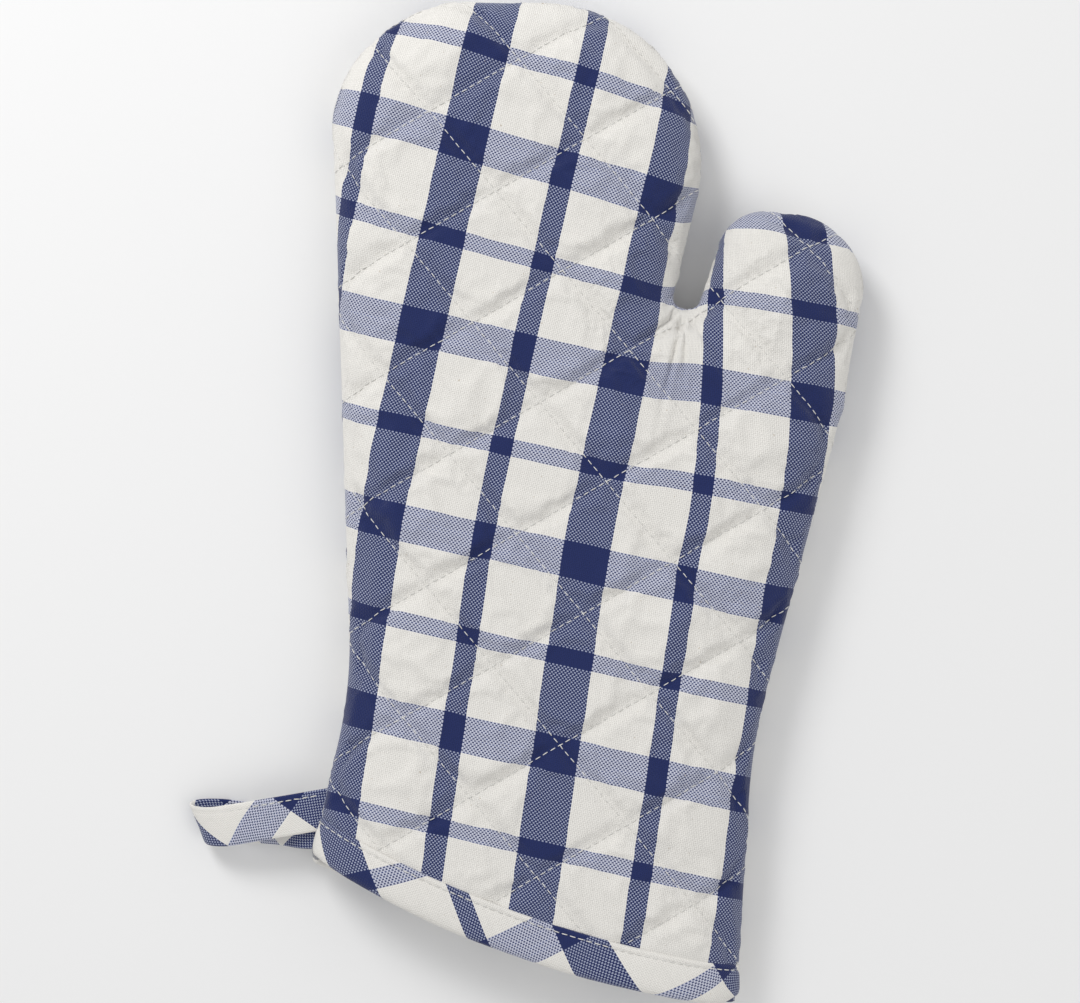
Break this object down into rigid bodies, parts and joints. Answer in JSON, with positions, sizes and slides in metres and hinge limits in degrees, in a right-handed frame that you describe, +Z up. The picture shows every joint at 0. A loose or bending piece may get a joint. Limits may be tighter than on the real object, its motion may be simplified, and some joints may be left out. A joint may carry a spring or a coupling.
{
  "type": "oven mitt",
  "caption": "Quilted cotton oven mitt with a thumb, padded front and back panels, an open lined cuff with a bound edge and a folded fabric hanging loop.",
  "frame": {"origin": "on the resting plane, under the middle of the palm; the mitt lies flat on its back panel", "axes": "+Z up, out of the front panel; +Y from the cuff towards the fingertips; +X towards the thumb"},
  "size_m": [0.1964, 0.3274, 0.026],
  "materials": {
    "check_cotton": "plain-woven cotton with a broad navy and white check",
    "bias_check": "the same check cotton, cut on the bias and folded into a strip",
    "batting": "lofty cotton wadding",
    "lining_cotton": "unbleached plain cotton",
    "thread": "white polyester sewing thread"
  },
  "bodies": {
    "mitt": {"front_outer_fabric": "check_cotton", "front_batting": "batting", "front_lining": "lining_cotton", "front_quilting_thread": "thread", "back_outer_fabric": "check_cotton", "back_batting": "batting", "back_lining": "lining_cotton", "back_quilting_thread": "thread", "cuff_binding": "bias_check", "binding_topstitch": "thread", "side_seam_thread": "thread", "hanging_loop_ends": "bias_check"},
    "loop": {"hanging_loop": "bias_check", "loop_edge_stitch": "thread"}
  },
  "joints": [
    {"name": "loop_swing", "type": "hinge", "parent": "mitt", "child": "loop", "pos_m": [-0.06324, -0.12573, 0.013], "axis": [-0.2672, 0.9636, 0], "range_deg": [-72, 97]}
  ]
}
